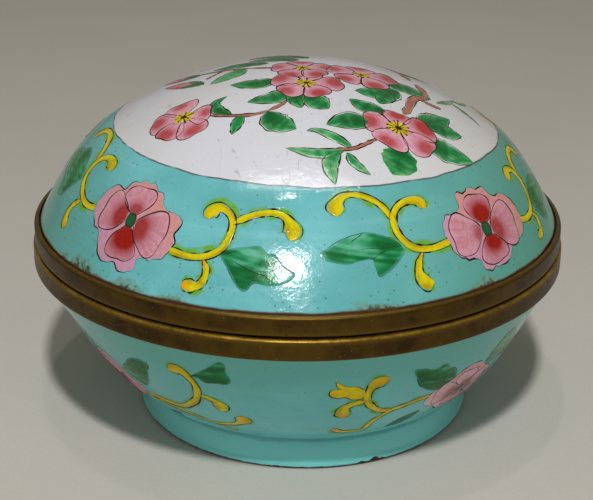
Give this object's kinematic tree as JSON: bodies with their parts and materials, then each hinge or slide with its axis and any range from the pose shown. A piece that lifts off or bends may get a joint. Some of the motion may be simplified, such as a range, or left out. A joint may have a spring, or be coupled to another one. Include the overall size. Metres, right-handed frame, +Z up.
{
  "type": "painted enamel box",
  "caption": "Round lidded box of painted enamel on copper: domed lift-off lid, brass rims, footed bowl.",
  "frame": {"origin": "on the ground, under the middle of the rims", "axes": "+Z up, -Y towards the side with the two large front flowers on the lid, +X to their right"},
  "size_m": [0.1058, 0.1058, 0.0699],
  "materials": {
    "lid_enamel": "glossy turquoise and white enamel on copper, painted with flowers",
    "bowl_enamel": "glossy turquoise enamel on copper, painted with flowers and scrolls",
    "lid_brass": "worn, darkened brass",
    "bowl_brass": "worn, darkened brass, rubbed bright along its upper edge"
  },
  "bodies": {
    "root": {"bowl": "bowl_enamel", "bowl_rim": "bowl_brass", "lid_rim": "lid_brass", "lid": "lid_enamel"}
  },
  "joints": []
}
